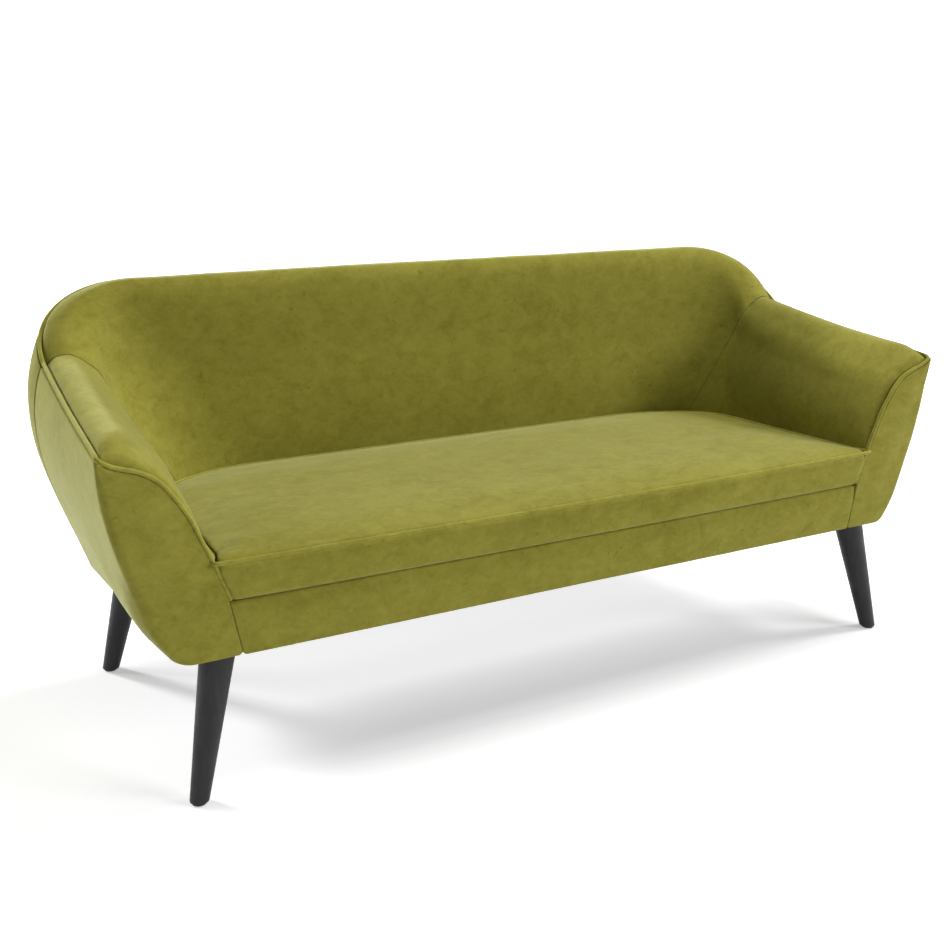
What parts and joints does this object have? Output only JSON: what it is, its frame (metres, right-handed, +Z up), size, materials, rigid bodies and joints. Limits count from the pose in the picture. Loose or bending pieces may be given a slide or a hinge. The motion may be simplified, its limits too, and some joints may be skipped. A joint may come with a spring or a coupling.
{
  "type": "sofa",
  "caption": "Upholstered velvet sofa with low flared arms running into a rounded back, a loose bench seat cushion with piping, and splayed tapered wooden legs.",
  "frame": {"origin": "middle of the sofa's footprint, at floor level", "axes": "+X along the sofa's length to the right of someone looking at its front, +Y towards its back, +Z up; the sitter looks along -Y"},
  "size_m": [1.8172, 0.7038, 0.8162],
  "materials": {
    "velvet": "olive-green short-pile velvet, mottled nap with a pale sheen at grazing angles",
    "piping": "olive-green velvet over a cord",
    "black_lacquered_wood": "satin black lacquer on turned wood",
    "timber": "plain sawn timber, unseen",
    "foam": "cream upholstery foam, unseen",
    "steel": "bare spring steel and zinc-plated bolts, unseen",
    "glide_plastic": "matt black glide",
    "under_cloth": "black non-woven lining cloth",
    "webbing": "dark elastic webbing"
  },
  "bodies": {
    "frame": {"arm_pad_left": "velvet", "arm_pad_right": "velvet", "back_pad": "velvet", "arm_cover_left": "velvet", "arm_cover_right": "velvet", "back_cover": "velvet", "arm_piping_left": "piping", "arm_piping_right": "piping", "back_piping": "piping", "front_apron": "velvet", "front_rail": "timber", "rear_rail": "timber", "side_rail_left": "timber", "side_rail_right": "timber", "cross_rail_left": "timber", "cross_rail_right": "timber", "leg_front_left": "black_lacquered_wood", "leg_front_right": "black_lacquered_wood", "corner_block_front_left": "timber", "corner_block_front_right": "timber", "leg_bolt_front_left": "steel", "leg_bolt_front_right": "steel", "leg_glide_front_left": "glide_plastic", "leg_glide_front_right": "glide_plastic", "leg_rear_left": "black_lacquered_wood", "leg_rear_right": "black_lacquered_wood", "corner_block_rear_left": "timber", "corner_block_rear_right": "timber", "leg_bolt_rear_left": "steel", "leg_bolt_rear_right": "steel", "leg_glide_rear_left": "glide_plastic", "leg_glide_rear_right": "glide_plastic", "arm_front_board_left": "timber", "arm_front_board_right": "timber", "arm_rear_board_left": "timber", "arm_rear_board_right": "timber", "arm_top_rail_left": "timber", "arm_top_rail_right": "timber", "back_post_left": "timber", "back_post_middle": "timber", "back_post_right": "timber", "back_top_rail": "timber", "back_strap_1": "webbing", "back_strap_2": "webbing", "back_strap_3": "webbing", "spring_clip_front": "steel", "spring_clip_rear": "steel", "seat_spring_1": "steel", "seat_spring_2": "steel", "seat_spring_3": "steel", "seat_spring_4": "steel", "seat_spring_5": "steel", "deck_cloth": "under_cloth", "dust_cloth": "under_cloth"},
    "seat_cushion": {"seat_cushion_cover": "velvet", "seat_cushion_core": "foam", "seat_cushion_piping": "piping"}
  },
  "joints": [
    {"name": "seat_cushion_lift", "type": "slide", "parent": "frame", "child": "seat_cushion", "axis": [0, 0, 1], "range_m": [0, 0.45]}
  ]
}
